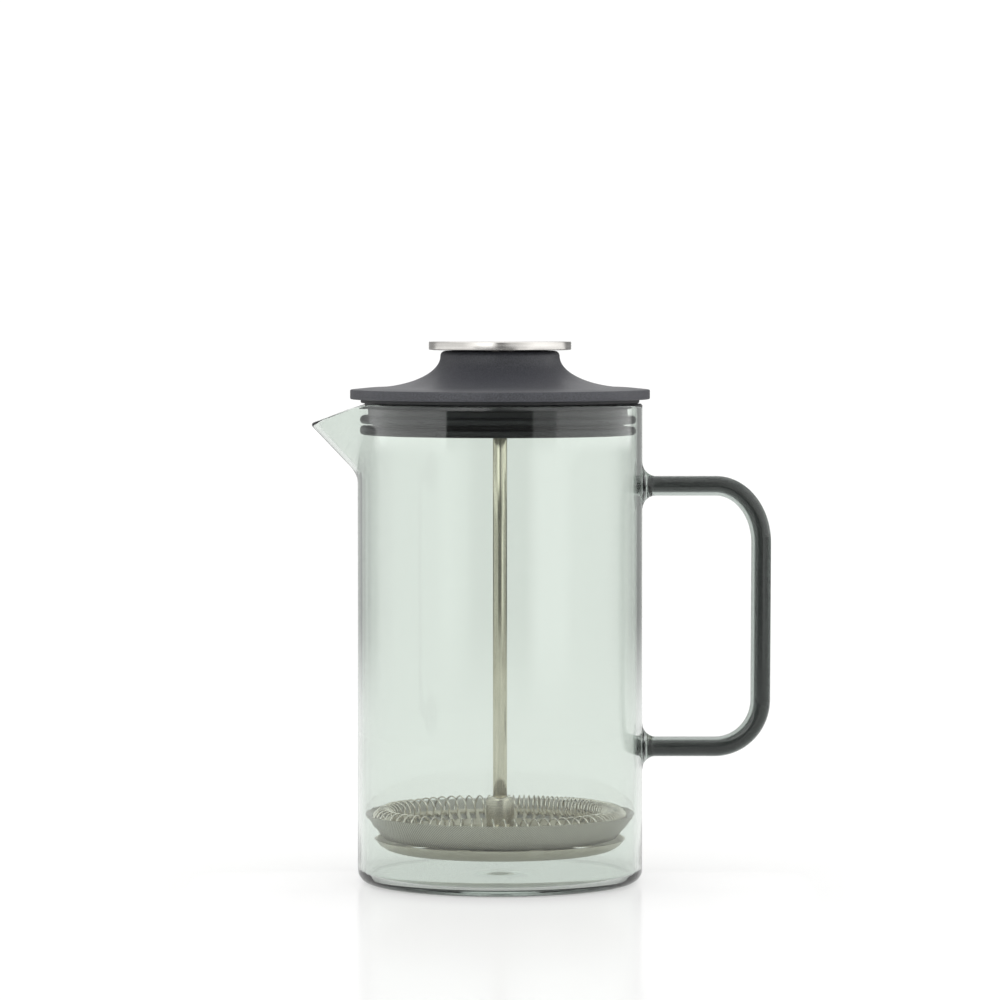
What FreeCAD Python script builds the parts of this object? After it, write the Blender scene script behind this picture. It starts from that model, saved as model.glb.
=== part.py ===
import FreeCAD
import Part
import math
import os

# French press. A blown glass jug with a welded glass handle carries a flared lid on its rim.
# A steel rod slides through the lid and carries a coil-edged mesh filter at its foot.
# Units are millimetres. Z is up, the origin is on the jug's axis at the surface it stands on,
# the handle points along +X and the spout along -X.

V = FreeCAD.Vector
Z_AXIS = V(0, 0, 1)
FULL_TURN = 360.0

# ---------------------------------------------------------------- jug
jug_r = 50.0            # outside radius of the glass
jug_h = 168.0           # height of the rim
wall = 1.9              # thickness of the blown wall
floor_t = 2.5           # thickness of the base
heel_r = 4.2            # outside rounding between wall and base
inner_heel_r = 2.5      # inside rounding between wall and base
pip_r = 9.0             # radius of the low rise in the middle of the inside floor
pip_h = 0.6             # its height
rim_round = 0.8         # rounding of the fire-polished rim

spout_reach = 16.8      # tip of the spout beyond the wall
spout_drop = 8.0        # tip of the spout below the rim
spout_depth = 25.0      # root of the spout's keel below the rim
spout_half_w = 17.0     # half the width of the spout where it leaves the rim
spout_nose_r = 4.0      # rounding of the spout's tip, seen from above

handle_rod_r = 3.5      # radius of the handle's glass rod
handle_reach = 41.6     # centreline of the upright beyond the wall
handle_top_drop = 29.0  # centreline of the upper bar below the rim
handle_span = 91.6      # upper bar to lower bar
handle_bend_top = 16.0  # centreline radius of the upper bend
handle_bend_low = 15.3  # centreline radius of the lower bend
weld_r = 8.4            # radius of the weld where it meets the wall
weld_fillet = 4.6       # rounding from the weld to the rod

# ---------------------------------------------------------------- lid
lid_overhang = 2.5      # lid beyond the glass
lid_edge_t = 3.4        # height of the lid's edge
lid_edge_round = 0.5    # rounding of the lid's edge
lid_rise = 16.9         # underside of the edge to the top of the neck
lid_slope = 0.6         # fall of the brim from the foot of the flare to the edge
neck_r = 20.9           # radius of the neck
neck_round = 1.8        # rounding of the neck's top edge
flare_run = 25.1        # reach of the elliptical flare from neck to brim
cover_wall = 2.4        # thickness of the cover
cover_top_t = 2.7       # thickness of the neck's top
spigot_w = 2.1          # thickness of the ring that the insert snaps on
spigot_l = 7.4          # its length below the underside of the edge
snap_h = 0.35           # height of the snap bead
snap_l = 1.6            # length of the snap bead along the axis
snap_gap = 0.1          # clearance round the snap bead and the spigot

insert_depth = 12.5     # underside of the lid's edge to the bottom of the insert
insert_wall = 1.7
insert_floor_t = 2.0
guide_boss_wall = 2.4   # wall of the tube that holds the rod guide
guide_boss_h = 15.0     # height of that tube above the insert's bottom
guide_wall = 2.0        # wall of the rod guide
guide_flange_w = 1.8    # width of the guide's top flange
guide_flange_t = 1.5

seal_flange_t = 1.3     # silicone between the lid and the glass rim
seal_flange_inset = 0.1  # edge of that flange inside the jug's outside
seal_seat_gap = 0.1     # clearance between seal flange and rim
seal_body_t = 1.5       # thickness of the seal's band
seal_neck_t = 3.1       # thickness of the band between shoulder and upper lip
shoulder_l = 1.9        # length of the shoulder under the flange
shoulder_inset = 0.7    # shoulder inside the glass bore
notch_l = 2.7           # length of the notch under the shoulder
lip_l = 2.6             # thickness of the upper lip
low_lip_l = 2.7         # thickness of the lower lip
lip_slot_l = 1.2        # slot between the lips
lip_gap = 0.3           # lips inside the glass bore
seal_slip = 0.06        # clearance between seal and insert

# ---------------------------------------------------------------- plunger
rod_r = 2.5
rod_gap = 0.08          # running clearance of the rod in its guide, and of the guide in its tube
stud_r = 2.0            # threaded ends of the rod
thread_gap = 0.05       # clearance that stands for the thread
disc_r = 25.0           # steel disc that is pressed by hand
disc_t = 3.0
disc_edge = 0.25        # chamfer of the disc's edges
disc_gap = 0.3          # disc above the lid's neck when it is down
boss_r = 6.2            # threaded socket under the disc
boss_h = 4.6
boss_grip = 3.8         # length of thread in the socket
recess_gap = 0.6        # room round the socket in the lid's neck
rod_hole_gap = 0.6      # room round the rod in the neck's floor
hub_r = 4.9             # collar above the filter
hub_h = 13.5
hub_round = 1.0
hub_taper_h = 4.0
hub_taper = 0.7
rod_seat_in_hub = 4.1   # height of the rod's shoulder above the hub's foot

# ---------------------------------------------------------------- filter
grounds_gap = 8.5       # base of the jug to the filter when the plunger is down
dish_t = 0.7            # sheet of the cross plate
dish_h = 4.3            # height of the cross plate's turned-up edge
dish_inset = 4.1        # edge of the cross plate inside the glass bore
dish_flare = 7.0        # width of the turned-up edge, seen from above
land_h = 4.1            # top of the cross plate's raised centre above its foot
land_r = 9.0            # radius of that raised centre
land_slope_w = 4.0      # width of the slope round it
mesh_t = 0.3            # thickness of the woven screen
mesh_gap = 0.6          # rim of the screen inside the glass bore
mesh_h = 9.1            # height of the screen's turned-up edge
mesh_foot_inset = 4.1   # where the screen turns up, inside the glass bore
mesh_foot_rise = 0.3    # step of the screen over the cross plate's edge
mesh_waist_in = 2.3     # middle of the turned-up edge inside the glass bore
mesh_waist_h = 3.6      # height of that middle
eyelet_lip_t = 0.15     # sheet of the eyelet in the middle of the screen
eyelet_r = 4.6
eyelet_hole_r = 2.15
eyelet_wall = 1.0
spiral_t = 0.6          # sheet of the spiral plate
spiral_hole_r = 2.15
coil_gap = 1.2          # turns of the spring inside the screen's rim
coil_r = 3.7            # radius of a turn, to the middle of the wire
coil_lift = 2.3         # foot of a turn above the spiral plate's foot
coil_pitch = 3.65       # turn to turn, along the middle of the ring
wire_r = 0.3
cone_foot_in = 6.5      # foot of the spiral plate's cone inside the spring's middle
cone_edge_out = 1.2     # edge of that cone outside the spring's middle
cone_edge_drop = 1.6    # edge of that cone below the spring's middle
window_l = 3.4          # length of a window along the radius
window_in = 0.5         # middle of a window inside the place where the wire crosses
window_share = 0.60     # window's share of a pitch
nut_r = 4.4             # threaded nut under the cross plate
nut_collar_r = 3.0      # its riveted collar
nut_l = 3.4             # its length below the raised centre
stud_past_nut = 0.6     # end of the stud above the foot of the nut

# rings of holes: (radius of the ring, radius of a hole, how many)
spiral_holes = [(13.0, 2.6, 8), (25.5, 4.2, 12)]
dish_holes = [(18.5, 3.3, 8), (29.5, 4.6, 12)]

# ---------------------------------------------------------------- what follows from the sizes
bore_r = jug_r - wall
lid_z = jug_h + seal_seat_gap + seal_flange_t        # underside of the lid's edge
lid_r = jug_r + lid_overhang
brim_top_z = lid_z + lid_edge_t
neck_top_z = lid_z + lid_rise
flare_foot_z = brim_top_z + lid_slope
flare_r = neck_r + flare_run
flare_z = neck_top_z - neck_round                    # the flare leaves the neck here, upright
flare_drop = flare_z - flare_foot_z
recess_z = neck_top_z + disc_gap - boss_h - recess_gap

seal_in_r = bore_r - lip_gap - seal_body_t - 4.4
insert_r = seal_in_r - seal_slip
insert_z = lid_z - insert_depth
guide_r = rod_r + rod_gap + guide_wall
guide_boss_z = insert_z + guide_boss_h

disc_z = neck_top_z + disc_gap
boss_z = disc_z - boss_h

dish_z = floor_t + grounds_gap
land_z = dish_z + land_h
mesh_z = land_z + eyelet_lip_t
spiral_z = mesh_z + mesh_t + eyelet_lip_t
hub_z = spiral_z + spiral_t
coil_ring_r = bore_r - mesh_gap - mesh_t - coil_gap - wire_r - coil_r
coil_z = spiral_z + coil_lift + wire_r + coil_r
coil_turns = round(2 * math.pi * coil_ring_r / coil_pitch)
turn_angle = 2 * math.pi / coil_turns
cone_foot_r = coil_ring_r - cone_foot_in
cone_edge_r = coil_ring_r + cone_edge_out
cone_edge_z = coil_z - cone_edge_drop
cone_lean = math.atan2(cone_edge_z - spiral_z, cone_edge_r - cone_foot_r)
nut_z = land_z - dish_t - nut_l


def point(r, z):
    """A point of a section in the XZ plane."""
    return V(r, 0, z)


def outline(*steps):
    """A closed section. A step (r, z) is a straight line to that point, and a step
    (mid, end) of two points is an arc through mid. The first step is the start."""
    edges = []
    start = point(*steps[0])
    here = start
    for step in steps[1:]:
        if isinstance(step[0], tuple):
            mid, end = point(*step[0]), point(*step[1])
            edges.append(Part.Arc(here, mid, end).toShape())
        else:
            end = point(*step)
            edges.append(Part.LineSegment(here, end).toShape())
        here = end
    if not here.isEqual(start, 1e-7):
        edges.append(Part.LineSegment(here, start).toShape())
    return Part.Wire(edges)


def turned(wire):
    """The solid that a section makes when it is turned about Z."""
    return Part.Face(wire).revolve(V(0, 0, 0), Z_AXIS, FULL_TURN)


def rod(r, low, high):
    """A round bar on the Z axis from height low to height high."""
    return Part.makeCylinder(r, high - low, V(0, 0, low))


def corner(r, z, radius, side_r, side_z):
    """The arc step that rounds a square corner at (r, z). side_r and side_z are -1 or 1 and
    point to the material. It runs from the upright side to the level one."""
    k = radius * (1 - math.sqrt(0.5))
    return (r + side_r * k, z + side_z * k), (r + side_r * radius, z)


def ellipse_point(extra, share):
    """A point of the lid's flare, share of the way down it. extra grows both half axes."""
    turn = share * math.pi / 2
    r = flare_r - (flare_run + extra) * math.cos(turn)
    return r, flare_z - (flare_drop + extra) * math.sin(turn)


def flare_edge(extra, first, last):
    """The stretch of the elliptical flare between two shares of its quarter turn."""
    long_half, short_half = flare_run + extra, flare_drop + extra
    centre = point(flare_r, flare_z)
    far, near = point(flare_r + long_half, flare_z), point(flare_r, flare_z - short_half)
    ellipse = Part.Ellipse(far, near, centre)
    angle = [ellipse.parameter(point(*ellipse_point(extra, s))) for s in (first, last)]
    return Part.ArcOfEllipse(ellipse, min(angle), max(angle)).toShape()


# ---------------------------------------------------------------- glass
def spout_section(z, inset):
    """The spout's section at height z: a triangle with a rounded nose, inset by the wall."""
    keel_slope = spout_reach / (spout_depth - spout_drop)
    rise = z - (jug_h - spout_depth)
    apex = jug_r + rise * keel_slope - inset * math.hypot(1, keel_slope)
    width_slope = spout_half_w / spout_depth
    half_w = spout_nose_r + rise * width_slope - inset
    back = 0.6 * jug_r
    nose = max(spout_nose_r - inset, 1.0)
    nose_x = apex - nose
    # the side runs from the back corner and touches the nose
    wall_x = math.sqrt(bore_r ** 2 - half_w ** 2)
    slope = half_w / (apex - wall_x) if apex - wall_x > half_w else 1.0
    lean = math.atan(slope)
    touch = V(-(nose_x + nose * math.sin(lean)), nose * math.cos(lean), z)
    back_y = touch.y + (-back - touch.x) * math.tan(lean)
    corner_a = V(-back, min(back_y, 0.7 * bore_r), z)
    corner_b = V(-back, -corner_a.y, z)
    touch_b = V(touch.x, -touch.y, z)
    return Part.Wire([
        Part.LineSegment(corner_b, touch_b).toShape(),
        Part.Arc(touch_b, V(-apex, 0, z), touch).toShape(),
        Part.LineSegment(touch, corner_a).toShape(),
        Part.LineSegment(corner_a, corner_b).toShape(),
    ])


def spout_solid(inset):
    """The spout as a full solid from under its root to above the rim."""
    low = jug_h - spout_depth - spout_nose_r
    high = jug_h + wall
    return Part.makeLoft([spout_section(low, inset), spout_section(high, inset)], True, True)


def glass_jug():
    """The blown jug: outside less inside, with the rim dipping along the spout."""
    lean = 1 - math.sqrt(0.5)
    outside = turned(outline(
        (0, 0),
        (jug_r - heel_r, 0),
        ((jug_r - heel_r * lean, heel_r * lean), (jug_r, heel_r)),
        (jug_r, jug_h - rim_round),
        corner(jug_r, jug_h, rim_round, -1, -1),
        (0, jug_h),
    ))
    inside = turned(outline(
        (0, floor_t + pip_h),
        (pip_r / 2, floor_t + 0.6 * pip_h),
        (pip_r, floor_t),
        (bore_r - inner_heel_r, floor_t),
        ((bore_r - inner_heel_r * lean, floor_t + inner_heel_r * lean),
         (bore_r, floor_t + inner_heel_r)),
        (bore_r, jug_h + wall),
        (0, jug_h + wall),
    ))
    over_rim = Part.makeBox(4 * jug_r, 4 * jug_r, jug_h, V(-2 * jug_r, -2 * jug_r, jug_h))
    dip = spout_drop / (spout_reach + wall)
    far = 2 * spout_reach
    over_spout = Part.Face(Part.makePolygon([
        V(-bore_r, 0, jug_h),
        V(-bore_r - far, 0, jug_h - far * dip),
        V(-bore_r - far, 0, jug_h + wall * 2),
        V(-bore_r, 0, jug_h + wall * 2),
        V(-bore_r, 0, jug_h),
    ])).extrude(V(0, 2 * jug_r, 0))
    over_spout.translate(V(0, -jug_r, 0))
    body = outside.fuse(spout_solid(0)).cut(inside).cut(spout_solid(wall))
    return body.cut(over_rim).cut(over_spout)


def handle_path():
    """Centreline of the handle, from the wall out, down and back."""
    out_x = jug_r + handle_reach
    top_z = jug_h - handle_top_drop
    low_z = top_z - handle_span
    lean = 1 - math.sqrt(0.5)
    top, low = handle_bend_top, handle_bend_low
    return outline_open(
        (bore_r, top_z),
        (out_x - top, top_z),
        ((out_x - top * lean, top_z - top * lean), (out_x, top_z - top)),
        (out_x, low_z + low),
        ((out_x - low * lean, low_z + low * lean), (out_x - low, low_z)),
        (bore_r, low_z),
    )


def outline_open(*steps):
    """The same steps as outline, left open."""
    edges = []
    here = point(*steps[0])
    for step in steps[1:]:
        if isinstance(step[0], tuple):
            mid, end = point(*step[0]), point(*step[1])
            edges.append(Part.Arc(here, mid, end).toShape())
        else:
            end = point(*step)
            edges.append(Part.LineSegment(here, end).toShape())
        here = end
    return Part.Wire(edges)


def weld(z):
    """The flared foot of the handle at height z, as a full solid through the wall."""
    lean = 1 - math.sqrt(0.5)
    foot = jug_r + weld_fillet
    waist = handle_rod_r
    edge = waist + weld_fillet
    section = Part.Wire([
        Part.LineSegment(V(bore_r, 0, 0), V(foot, 0, 0)).toShape(),
        Part.LineSegment(V(foot, 0, 0), V(foot, 0, waist)).toShape(),
        Part.Arc(V(foot, 0, waist),
                 V(jug_r + weld_fillet * lean, 0, waist + weld_fillet * lean),
                 V(jug_r, 0, edge)).toShape(),
        Part.LineSegment(V(jug_r, 0, edge), V(jug_r, 0, weld_r)).toShape(),
        Part.LineSegment(V(jug_r, 0, weld_r), V(bore_r, 0, weld_r)).toShape(),
        Part.LineSegment(V(bore_r, 0, weld_r), V(bore_r, 0, 0)).toShape(),
    ])
    solid = Part.Face(section).revolve(V(0, 0, 0), V(1, 0, 0), FULL_TURN)
    solid.translate(V(0, 0, z))
    return solid


def glass_handle():
    """The bent glass rod with its two welds, cut to lie on the jug's wall."""
    path = handle_path()
    top_z = jug_h - handle_top_drop
    section = Part.Wire(Part.makeCircle(handle_rod_r, V(bore_r, 0, top_z), V(1, 0, 0)))
    bar = path.makePipeShell([section], True, False)
    welded = bar.fuse([weld(top_z), weld(top_z - handle_span)])
    return welded.cut(rod(jug_r, 0, jug_h)).removeSplitter()


# ---------------------------------------------------------------- lid
def lid_cover():
    """The flared cover, hollow underneath, with the ring that the insert snaps on."""
    spigot_r = insert_r - insert_wall - snap_gap
    spigot_in = spigot_r - spigot_w
    spigot_z = lid_z - spigot_l
    hole_r = rod_r + rod_hole_gap
    recess_r = boss_r + recess_gap
    under_top = neck_top_z - cover_top_t
    cup_r = recess_r + cover_wall
    cup_z = recess_z - cover_wall
    first = 2 / math.pi * math.asin((flare_z - under_top) / (flare_drop + cover_wall)) \
        if under_top < flare_z else 0.0
    last = 2 / math.pi * math.acos((flare_r - spigot_in) / (flare_run + cover_wall))
    inner_a = ellipse_point(cover_wall, first)
    inner_b = ellipse_point(cover_wall, last)
    foot = ellipse_point(0, 1)
    neck_lean = neck_round * (1 - math.sqrt(0.5))
    edge_lean = lid_edge_round * (1 - math.sqrt(0.5))
    lines = [
        ((hole_r, cup_z), (hole_r, recess_z)),
        ((hole_r, recess_z), (recess_r, recess_z)),
        ((recess_r, recess_z), (recess_r, neck_top_z)),
        ((recess_r, neck_top_z), (neck_r - neck_round, neck_top_z)),
        (foot, (lid_r - lid_edge_round, brim_top_z)),
        ((lid_r, brim_top_z - lid_edge_round), (lid_r, lid_z + lid_edge_round)),
        ((lid_r - lid_edge_round, lid_z), (spigot_r, lid_z)),
        ((spigot_r, lid_z), (spigot_r, spigot_z + 2 * snap_l)),
        ((spigot_r, spigot_z + 2 * snap_l), (spigot_r + snap_h, spigot_z + 1.5 * snap_l)),
        ((spigot_r + snap_h, spigot_z + 1.5 * snap_l), (spigot_r, spigot_z + snap_l)),
        ((spigot_r, spigot_z + snap_l), (spigot_r, spigot_z)),
        ((spigot_r, spigot_z), (spigot_in, spigot_z)),
        ((spigot_in, spigot_z), inner_b),
        (inner_a, (cup_r, under_top)),
        ((cup_r, under_top), (cup_r, cup_z)),
        ((cup_r, cup_z), (hole_r, cup_z)),
    ]
    edges = [Part.LineSegment(point(*a), point(*b)).toShape() for a, b in lines]
    edges.append(Part.Arc(point(neck_r - neck_round, neck_top_z),
                          point(neck_r - neck_lean, neck_top_z - neck_lean),
                          point(neck_r, flare_z)).toShape())
    edges.append(flare_edge(0, 0, 1))
    edges.append(Part.Arc(point(lid_r - lid_edge_round, brim_top_z),
                          point(lid_r - edge_lean, brim_top_z - edge_lean),
                          point(lid_r, brim_top_z - lid_edge_round)).toShape())
    edges.append(Part.Arc(point(lid_r, lid_z + lid_edge_round),
                          point(lid_r - edge_lean, lid_z + edge_lean),
                          point(lid_r - lid_edge_round, lid_z)).toShape())
    edges.append(flare_edge(cover_wall, first, last))
    return turned(Part.Wire(Part.__sortEdges__(edges)))


def lid_insert():
    """The cup that closes the lid from below. Its wall carries the seal, and its middle tube
    holds the rod guide."""
    in_r = insert_r - insert_wall
    groove_z = lid_z - spigot_l
    bore = guide_r + rod_gap
    boss = bore + guide_boss_wall
    floor_z = insert_z + insert_floor_t
    return turned(outline(
        (bore, insert_z),
        (insert_r, insert_z),
        (insert_r, lid_z),
        (in_r, lid_z),
        (in_r, groove_z + 2 * snap_l + snap_gap),
        (in_r + snap_h, groove_z + 1.5 * snap_l),
        (in_r, groove_z + snap_l - snap_gap),
        (in_r, floor_z),
        (boss, floor_z),
        (boss, guide_boss_z),
        (bore, guide_boss_z),
    ))


def lid_seal():
    """The silicone ring: a flange on the rim, a shoulder, and two lips in the bore."""
    shoulder_r = bore_r - shoulder_inset
    neck_out = seal_in_r + seal_neck_t
    slot_r = seal_in_r + seal_body_t
    lip_r = bore_r - lip_gap
    flange_r = jug_r - seal_flange_inset
    z1 = lid_z - seal_flange_t
    z2 = z1 - shoulder_l
    z3 = z2 - notch_l
    z4 = z3 - lip_l
    z5 = z4 - lip_slot_l
    z6 = z5 - low_lip_l
    up, low = lip_l / 2, low_lip_l / 2
    bow = notch_l * 0.15
    return turned(outline(
        (seal_in_r, z6),
        (lip_r - low, z6),
        ((lip_r, z6 + low), (lip_r - low, z5)),
        (slot_r, z5),
        (slot_r, z4),
        (lip_r - up, z4),
        ((lip_r, z4 + up), (lip_r - up, z3)),
        (neck_out, z3),
        ((neck_out - bow, (z2 + z3) / 2), (neck_out, z2)),
        (shoulder_r, z2),
        (shoulder_r, z1),
        (flange_r, z1),
        (flange_r, lid_z),
        (seal_in_r, lid_z),
    ))


def rod_guide():
    """The bush that the rod slides in, hung by its flange on the insert's tube."""
    bore = rod_r + rod_gap
    return turned(outline(
        (bore, insert_z + insert_floor_t / 2),
        (guide_r, insert_z + insert_floor_t / 2),
        (guide_r, guide_boss_z),
        (guide_r + guide_flange_w, guide_boss_z),
        (guide_r + guide_flange_w, guide_boss_z + guide_flange_t),
        (bore, guide_boss_z + guide_flange_t),
    ))


# ---------------------------------------------------------------- plunger
def knob_disc():
    """The steel disc that the hand presses."""
    top = disc_z + disc_t
    return turned(outline(
        (0, disc_z),
        (disc_r - disc_edge, disc_z),
        (disc_r, disc_z + disc_edge),
        (disc_r, top - disc_edge),
        (disc_r - disc_edge, top),
        (0, top),
    ))


def knob_boss():
    """The threaded socket under the disc."""
    bore = stud_r + thread_gap
    return rod(boss_r, boss_z, disc_z).cut(rod(bore, boss_z, boss_z + boss_grip + thread_gap))


def plunger_rod():
    """The long rod, with a thread at each end."""
    shoulder = hub_z + rod_seat_in_hub
    shaft = rod(rod_r, shoulder, boss_z)
    upper = rod(stud_r, boss_z, boss_z + boss_grip)
    lower = rod(stud_r, nut_z + stud_past_nut, shoulder)
    return shaft.fuse([upper, lower])


def rod_hub():
    """The collar that presses on the filter. The rod's shoulder seats inside it."""
    bore = stud_r + thread_gap
    top = hub_z + hub_h
    shoulder = hub_z + rod_seat_in_hub
    lean = hub_round * (1 - math.sqrt(0.5))
    return turned(outline(
        (bore, hub_z),
        (hub_r - hub_taper, hub_z),
        (hub_r, hub_z + hub_taper_h),
        (hub_r, top - hub_round),
        ((hub_r - lean, top - lean), (hub_r - hub_round, top)),
        (rod_r + thread_gap, top),
        (rod_r + thread_gap, shoulder),
        (bore, shoulder),
    ))


# ---------------------------------------------------------------- filter
def drilled(plate, rings, low, high):
    """plate less rings of round holes."""
    holes = []
    for ring_r, hole_r, count in rings:
        for k in range(count):
            turn = 2 * math.pi * k / count
            place = V(ring_r * math.cos(turn), ring_r * math.sin(turn), low)
            holes.append(Part.makeCylinder(hole_r, high - low, place))
    return plate.cut(holes)


def wire_crossing():
    """Where the wire crosses the cone: the radius, and the share of a turn past the turn's
    start. Seen along the ring, a turn is a circle and the cone is a line that cuts it. The wire
    runs below from the outside of the ring to the inside over the second half turn."""
    above_cone = (coil_z - spiral_z) * math.cos(cone_lean) - cone_foot_in * math.sin(cone_lean)
    half_chord = math.sqrt(coil_r ** 2 - above_cone ** 2)
    crossing_r = coil_ring_r + above_cone * math.sin(cone_lean) - half_chord * math.cos(cone_lean)
    travelled = (coil_ring_r + coil_r - crossing_r) / (2 * coil_r)
    return crossing_r, 0.5 + 0.5 * travelled


def window_cutters():
    """One box per turn of the spring, through the spiral plate's cone."""
    crossing_r, share = wire_crossing()
    middle_r = crossing_r - window_in
    width = window_share * turn_angle * middle_r
    low = V(middle_r - window_l / 2, -width / 2, spiral_z + spiral_t)
    boxes = []
    for k in range(coil_turns):
        box = Part.makeBox(window_l, width, 2 * coil_r, low)
        box.rotate(V(0, 0, 0), Z_AXIS, math.degrees((k + share) * turn_angle))
        boxes.append(box)
    return boxes


def spiral_plate():
    """The sheet that carries the spring: a flat disc and a cone with a window per turn."""
    over_r, over_z = spiral_t * math.sin(cone_lean), spiral_t * math.cos(cone_lean)
    inner_foot = cone_foot_r - spiral_t * math.tan(cone_lean / 2)
    sheet = turned(outline(
        (spiral_hole_r, spiral_z),
        (cone_foot_r, spiral_z),
        (cone_edge_r, cone_edge_z),
        (cone_edge_r - over_r, cone_edge_z + over_z),
        (inner_foot, spiral_z + spiral_t),
        (spiral_hole_r, spiral_z + spiral_t),
    ))
    plate = drilled(sheet, spiral_holes, spiral_z - spiral_t, spiral_z + 2 * spiral_t)
    return plate.cut(window_cutters())


def coil_spring():
    """The closed ring of wire turns. Each half turn is half a circle in an upright plane: over
    the top from the inside of the ring to the outside, and back underneath. The halves meet
    upright, so the wire is smooth."""
    in_r, out_r = coil_ring_r - coil_r, coil_ring_r + coil_r

    def at(r, turns):
        angle = turns * turn_angle
        return V(r * math.cos(angle), r * math.sin(angle), coil_z)

    halves = []
    for k in range(coil_turns):
        ends = [at(in_r, k), at(out_r, k + 0.5), at(in_r, k + 1)]
        for a, b, side in ((ends[0], ends[1], 1), (ends[1], ends[2], -1)):
            half_chord = (b - a).Length / 2
            centre = (a + b) * 0.5
            arc = Part.Arc(a, centre + V(0, 0, side * half_chord), b).toShape()
            section = Part.Wire(Part.makeCircle(wire_r, a, Z_AXIS))
            halves.append(Part.Wire(arc).makePipeShell([section], False, False))
    faces = [face for half in halves for face in half.Faces]
    shell = Part.makeShell(faces)
    shell.sewShape()
    return Part.makeSolid(shell)


def mesh_screen():
    """The woven screen as a thin pan. Its edge turns up round the spring."""
    foot_r = bore_r - mesh_foot_inset
    waist = (bore_r - mesh_waist_in, mesh_z + mesh_waist_h)
    rim = (bore_r - mesh_gap, mesh_z + mesh_h)
    hole = eyelet_hole_r + eyelet_wall
    bend_r = foot_r - 4 * mesh_t
    top = mesh_z + mesh_t
    return turned(outline(
        (hole, mesh_z),
        (bend_r, mesh_z),
        (foot_r, mesh_z + mesh_foot_rise),
        waist,
        rim,
        (rim[0] - mesh_t, rim[1]),
        (waist[0] - mesh_t, waist[1]),
        (foot_r - mesh_t, top + mesh_foot_rise),
        (bend_r - mesh_t, top),
        (hole, top),
    ))


def mesh_eyelet():
    """The ring that binds the hole in the middle of the screen."""
    hole = eyelet_hole_r + eyelet_wall
    top = spiral_z
    return turned(outline(
        (eyelet_hole_r, land_z),
        (eyelet_r, land_z),
        (eyelet_r, mesh_z),
        (hole, mesh_z),
        (hole, mesh_z + mesh_t),
        (eyelet_r, mesh_z + mesh_t),
        (eyelet_r, top),
        (eyelet_hole_r, top),
    ))


def cross_plate():
    """The pierced dish under the screen, with a raised centre and a turned-up edge."""
    rim_r = bore_r - dish_inset
    rim_z = dish_z + dish_h
    flat_r = rim_r - dish_flare
    slope_r = land_r + land_slope_w
    under_land = land_z - dish_t
    bow = (flat_r + 0.60 * dish_flare, dish_z + 0.30 * dish_h)
    inner_bow = (bow[0] - 0.45 * dish_t, bow[1] + 0.95 * dish_t)
    sheet = turned(outline(
        (nut_collar_r, under_land),
        (land_r, under_land),
        (slope_r, dish_z),
        (flat_r, dish_z),
        (bow, (rim_r, rim_z)),
        (rim_r - dish_t, rim_z),
        (inner_bow, (flat_r, dish_z + dish_t)),
        (slope_r + dish_t, dish_z + dish_t),
        (land_r + dish_t / 2, land_z),
        (nut_collar_r, land_z),
    ))
    return drilled(sheet, dish_holes, dish_z - dish_t, dish_z + 3 * dish_t)


def cross_plate_nut():
    """The threaded nut riveted into the cross plate."""
    under_land = land_z - dish_t
    nut = rod(nut_r, nut_z, under_land).fuse(rod(nut_collar_r, under_land, land_z))
    return nut.cut(rod(stud_r + thread_gap, nut_z, land_z))


PIECES = [
    glass_jug, glass_handle,
    lid_cover, lid_insert, lid_seal, rod_guide,
    knob_disc, knob_boss, plunger_rod, rod_hub,
    spiral_plate, coil_spring, mesh_screen, mesh_eyelet,
    cross_plate, cross_plate_nut,
]

os.makedirs("parts", exist_ok=True)
for piece in PIECES:
    shape = piece()
    solids = shape.Solids
    whole = solids[0] if len(solids) == 1 else Part.makeCompound(solids)
    whole.exportStep(f"parts/{piece.__name__}.step")
    print(piece.__name__, len(solids), whole.isValid(), round(whole.Volume, 1))
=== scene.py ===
# %% [markdown]
# # A french press in Blender
# A french press is a glass jug, a lid, and a steel rod with a filter at its foot. The CAD model
# that is loaded here already holds every piece at its real size, so this file only makes what
# Blender is good at: clean surfaces for the glass, the lid, the spring and the woven screen, and
# a real finish for each material. Lengths are written in millimetres, as a maker would, and are
# turned to metres at the very end.

# %% Load the frame
import math

import bpy
import numpy as np
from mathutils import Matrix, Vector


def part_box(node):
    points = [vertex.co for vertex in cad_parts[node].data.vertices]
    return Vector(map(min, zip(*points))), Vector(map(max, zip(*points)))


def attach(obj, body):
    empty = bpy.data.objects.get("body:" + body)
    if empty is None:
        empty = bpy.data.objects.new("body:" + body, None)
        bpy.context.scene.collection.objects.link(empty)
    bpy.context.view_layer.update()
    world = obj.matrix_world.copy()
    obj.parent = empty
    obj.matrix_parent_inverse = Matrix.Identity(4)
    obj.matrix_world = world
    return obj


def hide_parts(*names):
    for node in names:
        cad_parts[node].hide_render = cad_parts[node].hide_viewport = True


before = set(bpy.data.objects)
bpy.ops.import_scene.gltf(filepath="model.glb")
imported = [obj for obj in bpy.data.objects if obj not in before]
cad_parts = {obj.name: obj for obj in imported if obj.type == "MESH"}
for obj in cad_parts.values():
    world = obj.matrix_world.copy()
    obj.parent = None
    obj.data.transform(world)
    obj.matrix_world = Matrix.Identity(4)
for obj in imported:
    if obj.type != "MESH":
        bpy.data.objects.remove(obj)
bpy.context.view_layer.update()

MM = 0.001


def box_mm(node):
    """The lowest and highest corner of a CAD node, in millimetres."""
    low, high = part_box(node)
    return np.array(low) / MM, np.array(high) / MM


# %% [markdown]
# ## The camera
# In a product studio the camera stands far back, with a long lens, so that the jug's sides stay
# upright. It could be shifted to keep them exactly upright. It is tilted down a little instead,
# because at this distance nobody sees the difference, and the camera needs no shift.

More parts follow.
